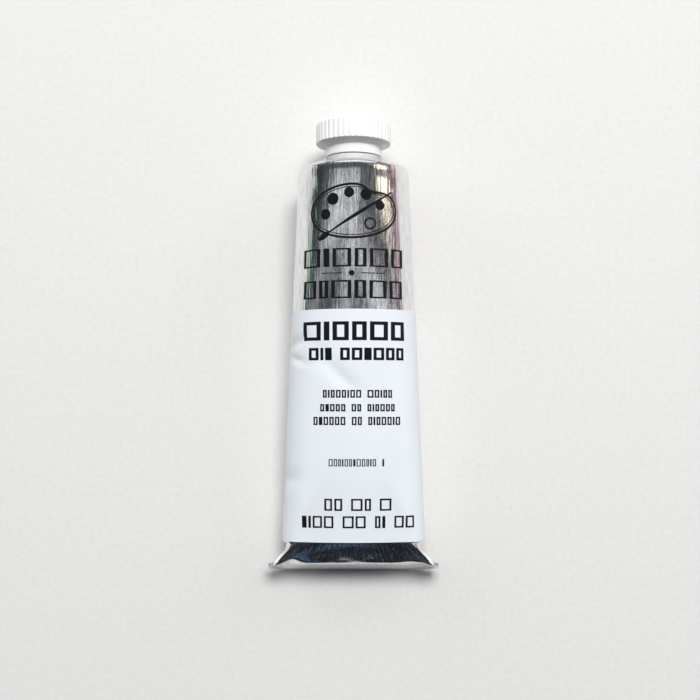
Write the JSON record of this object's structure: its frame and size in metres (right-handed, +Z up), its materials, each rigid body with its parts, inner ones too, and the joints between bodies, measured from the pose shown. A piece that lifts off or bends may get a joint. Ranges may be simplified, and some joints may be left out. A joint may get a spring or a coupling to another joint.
{
  "type": "paint tube",
  "caption": "Collapsible aluminium oil-paint tube with a ribbed screw cap, a printed band and a folded, hanging tail, lying on its back.",
  "frame": {"origin": "centre of the bounding box, on the surface that the tube lies on", "axes": "+Z up from that surface, +Y along the neck from the folded tail to the cap, +X across the tube"},
  "size_m": [0.039, 0.1016, 0.0251],
  "materials": {
    "bare_aluminium": "bright, with fine drawing marks along the tube",
    "label_film": "satin white film",
    "oil_paint": "thick glossy paste",
    "seal_latex": "dull",
    "cap_plastic": "moulded, slightly waxy",
    "liner_foam": "closed-cell foam",
    "print_ink": "dull black ink on film and metal"
  },
  "bodies": {
    "tube": {"tube_body": "bare_aluminium", "label_band": "label_film", "paint_fill": "oil_paint", "tail_seal": "seal_latex"},
    "liner": {"cap_liner": "liner_foam"},
    "cap": {"cap": "cap_plastic"}
  },
  "joints": [
    {"name": "cap_lift", "type": "slide", "parent": "tube", "child": "liner", "axis": [0, 1, 0], "range_m": [0, 0.0075]},
    {"name": "cap_turn", "type": "hinge", "parent": "liner", "child": "cap", "pos_m": [0, 0.03962, 0.01265], "axis": [0, 1, 0], "range_deg": [0, 1800]}
  ],
  "couplings": [
    {"joint": "cap_lift", "follows": "cap_turn", "m_per_rad": 0.00023873}
  ]
}
